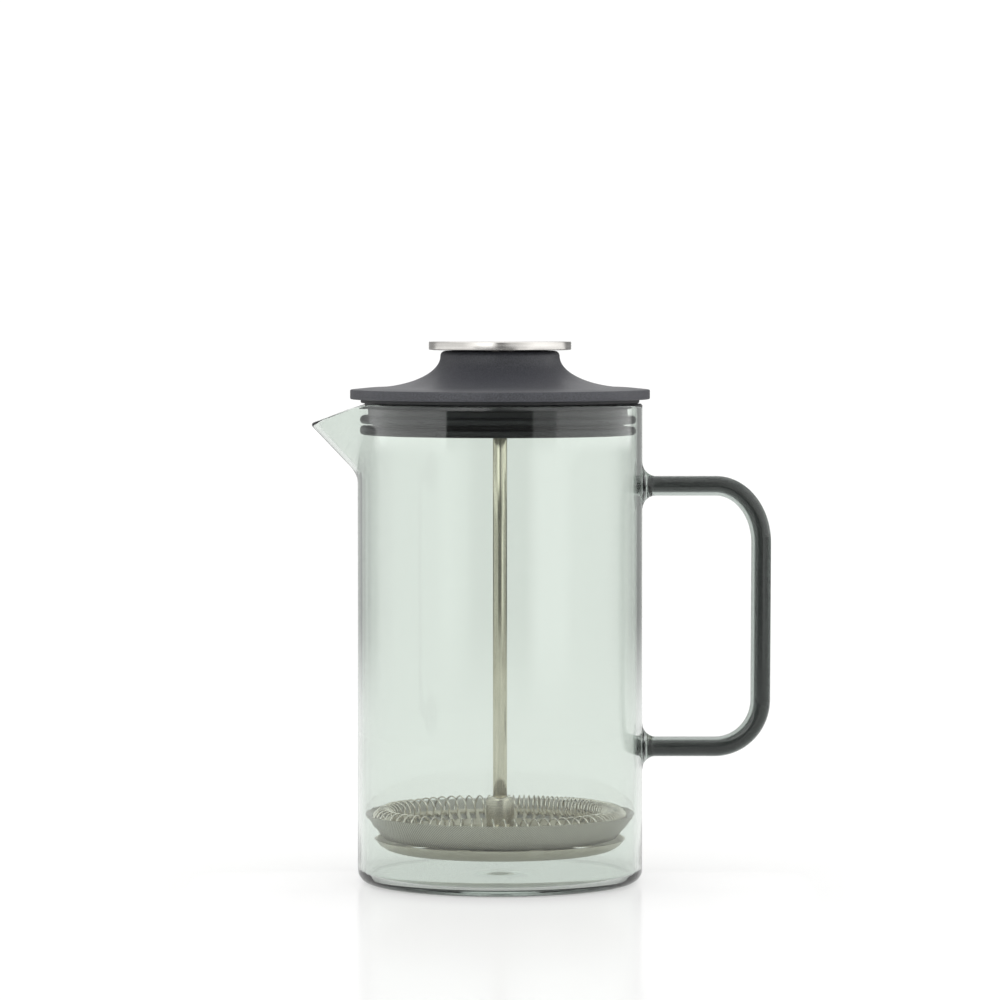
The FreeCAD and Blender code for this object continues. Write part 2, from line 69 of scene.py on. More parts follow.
# %% Camera
SENSOR = 36.0
DISTANCE = 1680.0
EYE_HEIGHT = 204.0
AIM_HEIGHT = 134.0
FRAME_WIDTH = 350.6

camera_data = bpy.data.cameras.new("camera")
camera = bpy.data.objects.new("camera", camera_data)
bpy.context.scene.collection.objects.link(camera)
tilt = math.atan2(EYE_HEIGHT - AIM_HEIGHT, DISTANCE)
camera_data.sensor_width = SENSOR
camera_data.lens = SENSOR * math.hypot(DISTANCE, EYE_HEIGHT - AIM_HEIGHT) / FRAME_WIDTH
camera.location = (0.0, -DISTANCE * MM, EYE_HEIGHT * MM)
camera.rotation_euler = (math.pi / 2 - tilt, 0.0, 0.0)
bpy.context.scene.camera = camera
print("lens", round(camera_data.lens, 1), "mm, tilted", round(math.degrees(tilt), 2), "degrees")

# %% [markdown]
# ## Surfaces from numbers
# Nearly every piece here is round, so it could be made with the Screw modifier. Worked out as
# an array instead, each surface is a grid of points: rows along its profile, columns round its
# axis. One function turns any such grid into a mesh and gives it a UV map in millimetres, so a
# pattern on it can be drawn at its real size.


# %% From a grid to a mesh
def grid_piece(name, points, uv, ring=False, caps=True):
    """A mesh from points[row, column], whose columns wrap round. A ring also wraps its rows.
    Otherwise each end is closed by a fan of triangles to its middle. uv[row, column] holds one
    column more than points, for the far side of the seam."""
    rows, columns = points.shape[:2]
    index = np.arange(rows * columns).reshape(rows, columns)
    below = index if ring else index[:-1]
    above = np.roll(index, -1, axis=0) if ring else index[1:]
    quads = np.stack([below, np.roll(below, -1, 1), np.roll(above, -1, 1), above], axis=-1)
    uv_above = np.roll(uv, -1, axis=0) if ring else uv[1:]
    uv_below = uv if ring else uv[:-1]
    corners = [uv_below[:, :-1], uv_below[:, 1:], uv_above[:, 1:], uv_above[:, :-1]]
    flat_uv = [np.stack(corners, axis=2).reshape(-1, 2)]
    vertices = [points.reshape(-1, 3)]
    faces = quads.reshape(-1, 4).tolist()
    if not ring and caps:
        for row, turn, middle in ((index[0], -1, rows * columns), (index[-1], 1, rows * columns + 1)):
            line = 0 if turn < 0 else -1
            vertices.append(points[line].mean(axis=0, keepdims=True))
            fan = np.stack([row, np.roll(row, -1), np.full(columns, middle)], axis=-1)
            fan_uv = np.stack([uv[line, :-1], uv[line, 1:], (uv[line, :-1] + uv[line, 1:]) / 2], axis=1)
            faces += (fan if turn > 0 else fan[:, ::-1]).tolist()
            flat_uv.append((fan_uv if turn > 0 else fan_uv[:, ::-1]).reshape(-1, 2))
    mesh = bpy.data.meshes.new(name)
    mesh.from_pydata((np.concatenate(vertices) * MM).tolist(), [], faces)
    mesh.uv_layers.new(name="surface").data.foreach_set("uv", np.concatenate(flat_uv).ravel())
    mesh.shade_smooth()
    piece = bpy.data.objects.new(name, mesh)
    bpy.context.scene.collection.objects.link(piece)
    print(f"{name}: {len(mesh.vertices)} points, {len(mesh.polygons)} faces")
    return piece


# %% Profiles
def line(a, b, steps=1):
    """Points from a towards b, evenly spaced, without b."""
    share = np.linspace(0, 1, steps, endpoint=False)[:, None]
    return np.array(a, float) * (1 - share) + np.array(b, float) * share


def arc(centre, radius, first, last, steps=8):
    """Points of a circle round centre, from angle first to angle last in degrees."""
    angle = np.radians(np.linspace(first, last, steps + 1))
    return np.array(centre) + radius * np.stack([np.cos(angle), np.sin(angle)], axis=-1)


def rounded(corners, radii, steps=5):
    """A closed profile with each corner rounded by a circle that touches both of its sides. The
    circle's centre lies on the corner's bisector, radius / sin(half the angle) away."""
    corners = np.array(corners, float)
    before = np.roll(corners, 1, axis=0) - corners
    after = np.roll(corners, -1, axis=0) - corners
    before /= np.linalg.norm(before, axis=1, keepdims=True)
    after /= np.linalg.norm(after, axis=1, keepdims=True)
    stretch = []
    for corner, a, b, radius in zip(corners, before, after, radii):
        half = math.acos(np.clip(a @ b, -1, 1)) / 2
        if radius == 0 or half > math.radians(89):
            stretch.append(corner[None])
            continue
        centre = corner + (a + b) / np.linalg.norm(a + b) * radius / math.sin(half)
        start = corner + a * radius / math.tan(half) - centre
        end = corner + b * radius / math.tan(half) - centre
        turn = math.atan2(start[0] * end[1] - start[1] * end[0], start @ end)
        angle = np.linspace(0, turn, steps + 1)[:, None]
        side = np.array([-start[1], start[0]])
        stretch.append(centre + start * np.cos(angle) + side * np.sin(angle))
    return np.concatenate(stretch)


def turned_piece(name, profile, columns=160, ring=True):
    """A profile of (radius, height) turned about Z: x = r cos t, y = r sin t. A ring's profile
    is closed and runs anticlockwise, so that its faces point outwards. u is the distance round
    at the widest place and v is the distance along the profile."""
    profile = np.array(profile, float)
    turn = np.linspace(0, 2 * np.pi, columns + 1)
    r, z = profile[:, :1], profile[:, 1:]
    points = np.stack([r * np.cos(turn[:-1]), r * np.sin(turn[:-1]), z + 0 * turn[:-1]], axis=-1)
    along = np.r_[0, np.cumsum(np.linalg.norm(np.diff(profile, axis=0), axis=1))]
    uv = np.stack(np.broadcast_arrays(turn * profile[:, 0].max(), along[:, None]), axis=-1)
    return grid_piece(name, points, uv, ring)


print("a 2 mm corner rounded by 0.5:", rounded([(0, 0), (2, 0), (2, 2)], [0, 0.5, 0], 2).round(2).tolist())

# %% [markdown]
# ## Nodes
# A material is a small graph. One function adds a node, sets its values and links its inputs,
# which keeps each material short enough to read as a recipe.


# %% Node and colour helpers
def srgb(code):
    """A hex colour such as '#8A8A8A' as linear light, with alpha 1."""
    value = np.array([int(code[i:i + 2], 16) for i in (1, 3, 5)]) / 255
    linear = np.where(value <= 0.04045, value / 12.92, ((value + 0.055) / 1.055) ** 2.4)
    return (*linear.tolist(), 1.0)


def add_node(material, kind, settings=None, **inputs):
    """A node of that kind. settings are its own options. Each input is a value or the output
    socket to link, under the socket's name with spaces as underscores, or _0, _1 by number."""
    node = material.node_tree.nodes.new("ShaderNode" + kind)
    for key, value in (settings or {}).items():
        setattr(node, key, value)
    for key, value in inputs.items():
        number = key.startswith("_")
        socket = node.inputs[int(key[1:]) if number else key.replace("_", " ")]
        if isinstance(value, bpy.types.NodeSocket):
            material.node_tree.links.new(value, socket)
        else:
            socket.default_value = value
    return node


def new_material(name):
    """An empty material and its output node."""
    material = bpy.data.materials.new(name)
    material.use_nodes = True
    material.node_tree.nodes.clear()
    return material, add_node(material, "OutputMaterial")


def finish_surface(material, output, **inputs):
    """A Principled shader with these inputs, on the material's output."""
    shader = add_node(material, "BsdfPrincipled", **inputs)
    material.node_tree.links.new(shader.outputs[0], output.inputs["Surface"])
    return shader


def stretched(material, source, scale):
    """The coordinates times scale along each axis, for a pattern that is drawn out one way."""
    place = add_node(material, "TexCoord").outputs[source]
    return add_node(material, "Mapping", Vector=place, Scale=scale).outputs[0]


def dress(piece, material):
    """The piece wears this material alone."""
    piece.data.materials.clear()
    piece.data.materials.append(material)
    print(piece.name, "wears", material.name)


def dress_node(name, material):
    """The CAD node keeps its mesh, and its material slots get this material."""
    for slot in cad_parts[name].material_slots:
        slot.material = material
    print(name, "wears", material.name)


print("#808080 in linear light:", round(srgb("#808080")[0], 3))

# %% [markdown]
# ## Glass
# The jug is borosilicate glass, blown in a mould and polished by flame. A thin sheet with a
# see-through colour would be quicker, but it bends nothing. Here glass is a closed solid with
# two walls, so that light bends going in and coming out. A faint absorption inside makes long
# paths through the wall greener, as at the jug's edges. The handle's core is smoke-grey glass.
# It lies inside clear glass that bends light just as much, so its own surface bends nothing:
# its index is 1, which means no change, and only its absorption is seen.


# %% Borosilicate glass, blown and fire-polished
GLASS_IOR = 1.474


def borosilicate_glass(name, tint):
    """Clear glass. The tint is what one surface passes, and a little more grey and green comes
    from the glass's depth."""
    material, output = new_material(name)
    finish_surface(material, output, Base_Color=srgb(tint), Roughness=0.0, IOR=GLASS_IOR,
                   Transmission_Weight=1.0)
    absorb = add_node(material, "VolumeAbsorption", Color=srgb("#9DB0A6"), Density=12.0)
    material.node_tree.links.new(absorb.outputs[0], output.inputs["Volume"])
    return material


print("one glass surface mirrors", round(((GLASS_IOR - 1) / (GLASS_IOR + 1)) ** 2, 3), "face on")


# %% Smoke-grey core of the rod
CORE_COLOUR, CORE_DENSITY = "#5E6663", 820.0


def smoke_core():
    """Dark glass inside clear glass: no bending at its surface, strong absorption in its depth."""
    material, output = new_material("borosilicate_glass_smoke_core")
    finish_surface(material, output, Base_Color=srgb("#FFFFFF"), Roughness=0.0, IOR=1.0,
                   Transmission_Weight=1.0)
    absorb = add_node(material, "VolumeAbsorption", Color=srgb(CORE_COLOUR), Density=CORE_DENSITY)
    material.node_tree.links.new(absorb.outputs[0], output.inputs["Volume"])
    return material


# light passes exp(-density (1 - colour) distance), colour in linear light and distance in metres
dimmed = (1 - srgb(CORE_COLOUR)[0]) * CORE_DENSITY * MM
print("4 mm of the core passes", round(math.exp(-4 * dimmed), 3), "of red light")


# %% [markdown]
# ## The jug
# A glass jug starts as a plain cylinder, and its spout is pulled out of the hot rim with a tool.
# The spout could be modelled by hand, but pulling is itself a formula: every point near the
# spout moves outwards by a height curve times a bell curve round the jug. The inside wall is
# the outside moved in along its own normal, so the glass is equally thick everywhere.

# %% The jug's sizes
jug_low, jug_high = box_mm("glass_jug")
JUG_R = jug_high[1]
RIM_Z = jug_high[2]
WALL = 1.9
FLOOR = 2.5
HEEL_R = 4.2
INNER_HEEL_R = 2.5
PIP_R, PIP_H = 11.0, 0.35
LIP_SOFTENING = 0.3
SPOUT_REACH = -jug_low[0] - JUG_R - LIP_SOFTENING
SPOUT_DROP = 7.4
SPOUT_ROOT = 140.2
SPOUT_BLEND = 6.0
SPOUT_SLOPE = 0.99
SPOUT_WIDTH = 8.0
SPOUT_ROWS_FROM = 134.0
COLUMN_CROWDING = 0.62
BORE_R = JUG_R - WALL
print("jug radius", round(JUG_R, 2), "rim", round(RIM_Z, 2), "spout reach", round(SPOUT_REACH, 2))


# %% The pulled spout
def spout_lift(z):
    """How far the spout's keel stands out at height z: zero below its root, then a parabola
    that turns into a straight slope."""
    up = z - SPOUT_ROOT
    bend = SPOUT_SLOPE * np.clip(up, 0, SPOUT_BLEND) ** 2 / (2 * SPOUT_BLEND)
    return bend + SPOUT_SLOPE * np.clip(up - SPOUT_BLEND, 0, None)


def draw_lines(turn):
    """Faint upright lines from the tube's drawing: the sum of three waves round the jug, which
    make the radius up to 0.03 mm smaller."""
    waves = np.sin(13 * turn + 1) + 0.7 * np.sin(29 * turn + 2) + 0.4 * np.sin(61 * turn)
    return 0.007 * (waves - 2.1)


def bell(turn, width):
    """A bell curve round the jug, 1 at the spout's middle, over the arc length from it."""
    return np.exp(-((JUG_R * turn) ** 2) / (2 * width ** 2))


def spout_rows(turn, share):
    """Radius and height of the outside wall. Rows run from share 0, below the spout, to 1 at
    the rim, which dips in proportion to how far the spout stands out."""
    straight_from = SPOUT_ROOT + SPOUT_BLEND / 2
    fall = SPOUT_DROP / SPOUT_REACH * SPOUT_SLOPE * bell(turn, SPOUT_WIDTH)
    top = RIM_Z - WALL / 2
    rim = (top + fall * straight_from) / (1 + fall)
    z = SPOUT_ROWS_FROM + share[:, None] * (rim - SPOUT_ROWS_FROM)
    width = SPOUT_WIDTH * (0.5 + 0.5 * np.clip(spout_lift(z) / SPOUT_REACH, 0, 1))
    lift = spout_lift(z) * SPOUT_REACH / spout_lift(RIM_Z - SPOUT_DROP)
    return JUG_R + draw_lines(turn) + lift * bell(turn, width), z


print("the keel stands out", spout_lift(np.array([145.0, 150.0, 155.0])).round(1), "at 145, 150, 155")


# %% The whole wall, outside and inside, as one grid
def jug_grid(columns=300, spout_steps=40):
    """Rows run from the middle of the base, out, up the outside, over the rim and down the
    inside to the middle of the floor. Columns are closer together near the spout. A row lies a
    few millimetres from each bend, on the flat side, so that the flat is shaded flat."""
    even = np.linspace(-np.pi, np.pi, columns, endpoint=False)
    turn = even - COLUMN_CROWDING * np.sin(even)
    direction = np.stack([-np.cos(turn), -np.sin(turn)], axis=-1)

    def ring_rows(profile):
        """A profile turned about Z, with the drawing lines: (r + line) times the direction."""
        r, z = profile[:, :1, None], profile[:, 1:, None]
        flat = (r + draw_lines(turn)[None, :, None]) * direction[None]
        return np.concatenate([flat, np.broadcast_to(z, (*flat.shape[:2], 1))], axis=2)

    outer_low = np.concatenate([
        line((4, 0), (JUG_R - HEEL_R, 0), 5),
        arc((JUG_R - HEEL_R, HEEL_R), HEEL_R, -90, 0, 12),
        line((JUG_R, HEEL_R + 4), (JUG_R, SPOUT_ROWS_FROM), 9),
    ])
    radius, height = spout_rows(turn, np.linspace(0, 1, spout_steps))
    outer_high = np.concatenate([radius[..., None] * direction[None], height[..., None]], axis=2)
    round_way = np.roll(outer_high, -1, 1) - np.roll(outer_high, 1, 1)
    up_way = np.gradient(outer_high, axis=0)
    normal = np.cross(round_way, up_way)
    normal /= np.linalg.norm(normal, axis=2, keepdims=True)
    inner_high = outer_high - WALL * normal
    tip = up_way[-1] / np.linalg.norm(up_way[-1], axis=1, keepdims=True) * WALL / 2
    middle = (outer_high[-1] + inner_high[-1]) / 2
    half = (outer_high[-1] - inner_high[-1]) / 2
    lip_turn = np.linspace(0, np.pi, 11)[1:-1, None, None]
    lip = middle + half * np.cos(lip_turn) + tip * np.sin(lip_turn)
    inner_low = np.concatenate([
        line((BORE_R, SPOUT_ROWS_FROM - 6), (BORE_R, FLOOR + INNER_HEEL_R + 3), 9),
        arc((BORE_R - INNER_HEEL_R, FLOOR + INNER_HEEL_R), INNER_HEEL_R, 0, -90, 10),
        line((BORE_R - INNER_HEEL_R - 2, FLOOR), (PIP_R + 2, FLOOR), 5),
    ])
    pip_r = np.linspace(PIP_R, 1.0, 8)
    pip = np.stack([pip_r, FLOOR + PIP_H * np.cos(pip_r / PIP_R * np.pi / 2) ** 2], axis=-1)
    return np.concatenate([
        ring_rows(outer_low), outer_high, lip, inner_high[::-1], ring_rows(inner_low), ring_rows(pip),
    ])


def plain_uv(points):
    """u from the turn round Z and v from the row, where no pattern follows the surface."""
    rows, columns = points.shape[:2]
    u, v = np.meshgrid(np.linspace(0, 1, columns + 1), np.linspace(0, 1, rows))
    return np.stack([u, v], axis=-1)


jug_points = jug_grid()
jug = grid_piece("jug_glass", jug_points, plain_uv(jug_points))
dress(jug, borosilicate_glass("borosilicate_glass_blown", "#EBF0EC"))
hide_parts("glass_jug")
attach(jug, "jug")

# %% [markdown]
# ## The handle
# The handle is a solid glass rod, bent hot and pressed on the wall, where each end spreads into
# a small foot. It could be a curve with a bevel. A tube worked out along the path lets its
# radius grow into the foot, and lets the foot's face take the roundness of the wall. The rod
# is clear on the outside with a smoke-grey core, which the casing magnifies as any lens does.

# %% The handle's sizes
handle_low, handle_high = box_mm("glass_handle")
ROD_R = 3.5
BEND_X, BEND_TOP, BEND_LOW = 16.0, 20.0, 16.5
LEAN = 0.2
WELD_R = 8.4
FOOT_FILLET = 4.6
FOOT_GAP = 0.04
CORE_R, CORE_SHIFT, CORE_START = 2.0, 0.42, 0.8
bar_top_z = handle_high[2] - WELD_R
bar_low_z = handle_low[2] + WELD_R
upright_x = handle_high[0] - ROD_R
print("bars at", round(bar_top_z, 1), "and", round(bar_low_z, 1), "upright at", round(upright_x, 1))


# %% The handle's line
def oval_arc(centre, half_x, half_z, first, last, steps=24):
    """Points of an ellipse: x = centre + half_x cos t, z = centre + half_z sin t."""
    angle = np.radians(np.linspace(first, last, steps + 1))
    return np.array(centre) + np.stack([half_x * np.cos(angle), half_z * np.sin(angle)], axis=-1)


def handle_path(start):
    """Points of the centreline, from a distance out of the wall at the upper foot to the same
    distance at the lower one. The upright leans in by LEAN at its foot."""
    near = start + FOOT_FILLET * (1 - np.cos(np.linspace(0, np.pi / 2, 14)))
    out = np.r_[near, np.linspace(near[-1] + 2, upright_x - JUG_R - BEND_X, 6)[:-1]] + JUG_R
    upper = np.stack([out, np.full(len(out), bar_top_z)], axis=-1)
    lower = np.stack([out, np.full(len(out), bar_low_z)], axis=-1)[::-1]
    bend_a = oval_arc((upright_x - BEND_X, bar_top_z - BEND_TOP), BEND_X, BEND_TOP, 90, 0)
    bend_b = oval_arc((upright_x - LEAN - BEND_X, bar_low_z + BEND_LOW), BEND_X, BEND_LOW, 0, -90)
    straight = line(bend_a[-1], bend_b[0], 8)[1:]
    return np.concatenate([upper, bend_a, straight, bend_b, lower])


handle_steps = np.linalg.norm(np.diff(handle_path(FOOT_GAP), axis=0), axis=1)
print("the rod is", round(handle_steps.sum(), 1), "mm long on its centreline")


# %% Casing and core
def tube_grid(path, radius, shift=0.0, sides=48):
    """Each row is a circle in the plane across the path, moved by shift to the outside of the
    loop: point = path + out (shift + r cos a) + side r sin a."""
    along = np.gradient(path, axis=0)
    along /= np.linalg.norm(along, axis=1, keepdims=True)
    out = np.stack([-along[:, 1], along[:, 0]], axis=-1)
    angle = np.linspace(0, 2 * np.pi, sides, endpoint=False)
    across = shift + radius[:, None] * np.cos(angle)
    y = -radius[:, None] * np.sin(angle)
    return np.stack([path[:, :1] + out[:, :1] * across, y, path[:, 1:] + out[:, 1:] * across], axis=-1)


def casing_grid():
    """The clear rod. A foot's radius is that of the rod plus a quarter-circle fillet: r = rod +
    fillet - sqrt(fillet^2 - (fillet - d)^2) at distance d from the wall. Each foot is closed by
    two smaller circles, and its rows are bowed as the wall is."""
    path = handle_path(FOOT_GAP)
    from_wall = path[:, 0] - JUG_R - FOOT_GAP
    near = np.clip(FOOT_FILLET - from_wall, 0, FOOT_FILLET)
    radius = ROD_R + FOOT_FILLET - np.sqrt(FOOT_FILLET ** 2 - near ** 2)
    tube = tube_grid(path, radius)
    first, last = tube[:1], tube[-1:]
    caps = np.array([0.45, 0.75])[:, None, None]
    start = first.mean(axis=1, keepdims=True) * (1 - caps) + first * caps
    end = last.mean(axis=1, keepdims=True) * (1 - caps[::-1]) + last * caps[::-1]
    tube = np.concatenate([start, tube, end])
    near = np.r_[near[0], near[0], near, near[-1], near[-1]]
    bow = np.sqrt((JUG_R + FOOT_GAP) ** 2 - tube[..., 1] ** 2) - JUG_R - FOOT_GAP
    tube[..., 0] += bow * near[:, None] / FOOT_FILLET
    return tube


casing_points = casing_grid()
casing = grid_piece("handle_casing", casing_points, plain_uv(casing_points))
dress(casing, borosilicate_glass("borosilicate_glass_drawn_rod", "#B0B7B3"))
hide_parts("glass_handle")

core_path = handle_path(CORE_START)
core_points = tube_grid(core_path, np.full(len(core_path), CORE_R), CORE_SHIFT, 32)
core = grid_piece("handle_core", core_points, plain_uv(core_points))
dress(core, smoke_core())
for piece in (casing, core):
    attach(piece, "jug")

# %% [markdown]
# ## Plastics and silicone
# The lid is moulded plastic from a spark-eroded mould, which leaves a fine matte grain that
# breaks up the light. An image of such a grain could be laid on it, but noise worked out
# from the place has no seam and no edge, and its size is one number. Silicone is softer
# looking: darker, with a broad dull shine. One recipe with other values makes all four.


# %% Spark-eroded plastic, silicone, acetal
def grained_plastic(name, dark, light, grain_mm, roughness, depth):
    """Moulded plastic with a grain of this size: a fleck in its colour and a pit in its surface."""
    material, output = new_material(name)
    place = add_node(material, "TexCoord").outputs["Object"]
    grain = add_node(material, "TexNoise", Vector=place, Scale=1 / (grain_mm * MM), Detail=2.0,
                     Roughness=0.6)
    cloud = add_node(material, "TexNoise", Vector=place, Scale=1 / (25 * MM), Detail=2.0)
    fleck = add_node(material, "MapRange", Value=grain.outputs["Fac"], From_Min=0.35, From_Max=0.75)
    colour = add_node(material, "Mix", {"data_type": "RGBA"}, _0=fleck.outputs[0], _6=srgb(dark),
                      _7=srgb(light))
    shine = add_node(material, "MapRange", Value=cloud.outputs["Fac"], From_Min=0.3, From_Max=0.7,
                     To_Min=roughness - 0.04, To_Max=roughness + 0.04)
    relief = add_node(material, "Bump", Height=grain.outputs["Fac"], Strength=0.5, Distance=depth * MM)
    finish_surface(material, output, Base_Color=colour.outputs[2], Roughness=shine.outputs[0],
                   Normal=relief.outputs[0])
    return material


# polypropylene, spark-eroded mould: fine grain, dull grey sheen. The real grain is about 0.1 mm
# and is drawn at 0.45 mm, so that it shows
lid_plastic = grained_plastic("graphite_polypropylene_spark_eroded", "#303136", "#4B4C52", 0.45, 0.48, 0.07)
# the same plastic from a smoother mould, black
insert_plastic = grained_plastic("black_polypropylene_moulded", "#18181A", "#202022", 0.6, 0.38, 0.03)
# silicone, compression moulded: broad dull shine, a little dust
seal_silicone = grained_plastic("dark_silicone_moulded", "#1E1F21", "#26272A", 0.8, 0.5, 0.02)
# acetal, turned: waxy off-white
guide_acetal = grained_plastic("natural_acetal_turned", "#D9D8D0", "#E3E2DA", 0.8, 0.35, 0.02)
for material in (lid_plastic, insert_plastic, seal_silicone, guide_acetal):
    print(material.name, "has", len(material.node_tree.nodes), "nodes")

# %% [markdown]
# ## The lid
# The cover is one flowing shape, a flared neck on a flat brim. It could be a curve in Blender's
# editor. Its flare is a quarter of an ellipse, so the profile is written as that, with every
# edge rounded a little, because no moulded edge is sharp and it is the rounding that glints.

# %% The lid's sizes
cover_high = box_mm("lid_cover")[1]
seal_low, seal_high = box_mm("lid_seal")
LID_R = cover_high[0]
LID_Z = seal_high[2]
NECK_TOP = cover_high[2]
NECK_R = 20.9
NECK_ROUND = 1.8
EDGE_T = 3.4
EDGE_ROUND = 0.5
BRIM_FALL = 0.6
FLARE_RUN = 25.1
COVER_WALL = 2.4
COVER_TOP_T = 2.7
SPIGOT_IN = 36.2
RECESS_R = 6.8
RECESS_DEPTH = 4.9
ROD_HOLE_R = 3.1
brim_top = LID_Z + EDGE_T
flare_top = NECK_TOP - NECK_ROUND
flare_foot = brim_top + BRIM_FALL
flare_centre = np.array([NECK_R + FLARE_RUN, flare_top])
print("lid radius", round(LID_R, 2), "underside", round(LID_Z, 2), "neck top", round(NECK_TOP, 2))


# %% The cover
def flare(extra, first, last, steps):
    """Quarter ellipse from the brim (share 1) to the neck (share 0): r = centre - (run + extra)
    cos(share * 90), z = centre - (drop + extra) sin(share * 90)."""
    angle = np.radians(90) * np.linspace(first, last, steps)
    half = np.array([FLARE_RUN, flare_top - flare_foot]) + extra
    return flare_centre - half * np.stack([np.cos(angle), np.sin(angle)], axis=-1)


def cover_profile():
    """Anticlockwise: underside, edge, brim, flare, neck, the recess for the knob's socket, and
    back along the hollow inside. The points at radius 15 and 18 only mark a place on a flat."""
    recess_z = NECK_TOP - RECESS_DEPTH
    cup_r, cup_z = RECESS_R + COVER_WALL, recess_z - COVER_WALL
    under_top = NECK_TOP - COVER_TOP_T
    return np.concatenate([
        line((SPIGOT_IN, LID_Z), (LID_R - EDGE_ROUND, LID_Z), 4),
        arc((LID_R - EDGE_ROUND, LID_Z + EDGE_ROUND), EDGE_ROUND, -90, 0, 4),
        arc((LID_R - EDGE_ROUND, brim_top - EDGE_ROUND), EDGE_ROUND, 0, 88, 4),
        flare(0, 1, 0, 40),
        arc((NECK_R - NECK_ROUND, flare_top), NECK_ROUND, 9, 90, 8),
        rounded([(15, NECK_TOP), (RECESS_R, NECK_TOP), (RECESS_R, recess_z), (ROD_HOLE_R, recess_z),
                 (ROD_HOLE_R, cup_z), (cup_r, cup_z), (cup_r, under_top), (18, under_top)],
                [0, 0.4, 0.3, 0.3, 0.2, 0.3, 0.3, 0]),
        flare(COVER_WALL, 0.2, 0.7, 16),
    ])


cover = turned_piece("cover_plastic", cover_profile(), 240)
dress(cover, lid_plastic)
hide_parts("lid_cover")
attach(cover, "lid")

# %% [markdown]
# ## The seal
# The silicone ring hangs over the glass rim, with a shoulder and two soft lips below it that
# press on the glass. They could be boxes with a bevel. Soft lips bulge, so each ends in a half
# circle here, and the profile steps up from one feature to the next by its own length.

# %% The seal
SEAL_SLIP, FLANGE_INSET = 0.06, 1.1
BAND_T, NECK_T, LIP_GAP, SHOULDER_GAP = 1.5, 3.1, 0.3, 0.7
FLANGE_T, SHOULDER_L, NOTCH_L, LIP_L, LIP_SLOT, LOW_LIP_L = 1.3, 1.9, 2.7, 2.6, 1.2, 2.7
seal_in = box_mm("lid_insert")[1][0] + SEAL_SLIP
seal_out = seal_high[0] - FLANGE_INSET
lip_out, shoulder_out = BORE_R - LIP_GAP, BORE_R - SHOULDER_GAP
neck_out, slot_r = seal_in + NECK_T, seal_in + BAND_T


def seal_profile():
    """Anticlockwise from the inside foot. Heights step up by the length of each feature."""
    steps = np.cumsum([0, LOW_LIP_L, LIP_SLOT, LIP_L, NOTCH_L, SHOULDER_L, FLANGE_T])
    z0, z1, z2, z3, z4, z5, z6 = seal_low[2] + steps
    low, up = LOW_LIP_L / 2, LIP_L / 2
    return np.concatenate([
        line((seal_in, z0), (lip_out - low, z0), 2),
        arc((lip_out - low, z0 + low), low, -90, 90, 14),
        rounded([(lip_out - 3, z1), (slot_r, z1), (slot_r, z2), (lip_out - 3, z2)], [0, 0.4, 0.4, 0], 4),
        arc((lip_out - up, z2 + up), up, -90, 90, 14),
        rounded([(lip_out - 1.6, z3), (neck_out - 0.4, z3), (neck_out - 0.4, z4), (shoulder_out, z4),
                 (shoulder_out, z5), (seal_out, z5), (seal_out, z6), (seal_in, z6)],
                [0, 0.7, 0.7, 0.5, 0.25, 0.4, 0.15, 0], 5),
    ])


seal = turned_piece("seal_silicone", seal_profile(), 240)
dress(seal, seal_silicone)
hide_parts("lid_seal")
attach(seal, "lid")
dress_node("lid_insert", insert_plastic)
dress_node("rod_guide", guide_acetal)

# %% [markdown]
# ## Steel
# All the metal is stainless steel, and what tells the pieces apart is how each surface was made:
# the disc and collar were turned on a lathe, so their marks run round them; the rod was drawn
# through a die, so its marks run along it; the plates were pressed from rolled sheet. Blender
# can stretch a highlight across marks that are too fine to see. These are meant to be seen, so
# they are noise drawn out along their direction, in the colour, in the shine and as a relief.


# %% Stainless steel with tool marks
def marked_steel(name, dark, light, roughness, source, scale, spread=0.08, depth=0.004):
    """Stainless steel. source names the coordinates, and scale squeezes the noise across the
    marks. A metal keeps the shader's own index of refraction."""
    material, output = new_material(name)
    marks = add_node(material, "TexNoise", Vector=stretched(material, source, scale), Scale=1.0,
                     Detail=2.0, Roughness=0.5)
    clouds = add_node(material, "TexNoise", Vector=add_node(material, "TexCoord").outputs["Object"],
                      Scale=1 / (12 * MM), Detail=3.0)
    both = add_node(material, "Math", {"operation": "MULTIPLY_ADD"}, _0=clouds.outputs["Fac"], _1=0.5,
                    _2=marks.outputs["Fac"])
    tone = add_node(material, "MapRange", Value=both.outputs[0], From_Min=0.45, From_Max=1.05)
    colour = add_node(material, "Mix", {"data_type": "RGBA"}, _0=tone.outputs[0], _6=srgb(dark),
                      _7=srgb(light))
    shine = add_node(material, "MapRange", Value=marks.outputs["Fac"], From_Min=0.3, From_Max=0.7,
                     To_Min=roughness - spread / 2, To_Max=roughness + spread / 2)
    relief = add_node(material, "Bump", Height=marks.outputs["Fac"], Strength=0.35, Distance=depth * MM)
    finish_surface(material, output, Base_Color=colour.outputs[2], Metallic=1.0,
                   Roughness=shine.outputs[0], Normal=relief.outputs[0])
    return material


# Real marks lie under 0.1 mm apart. They are drawn 0.7 to 1.1 mm apart, so that they show.
# round the piece: 20 mm long in u and 0.7 mm apart in v
disc_steel = marked_steel("stainless_steel_turned_disc", "#C4C1BC", "#DCDAD6", 0.2, "UV", (0.05, 1.4, 1))
turned_steel = marked_steel("stainless_steel_turned", "#C6C0B2", "#DDD8CB", 0.22, "UV", (0.05, 1.4, 1))
# along the piece: 0.8 mm apart in u and 25 mm long in v
rod_steel = marked_steel("stainless_steel_drawn_rod", "#C9C3B2", "#E2DDCD", 0.1, "UV", (1.2, 0.04, 1),
                         0.04, 0.002)
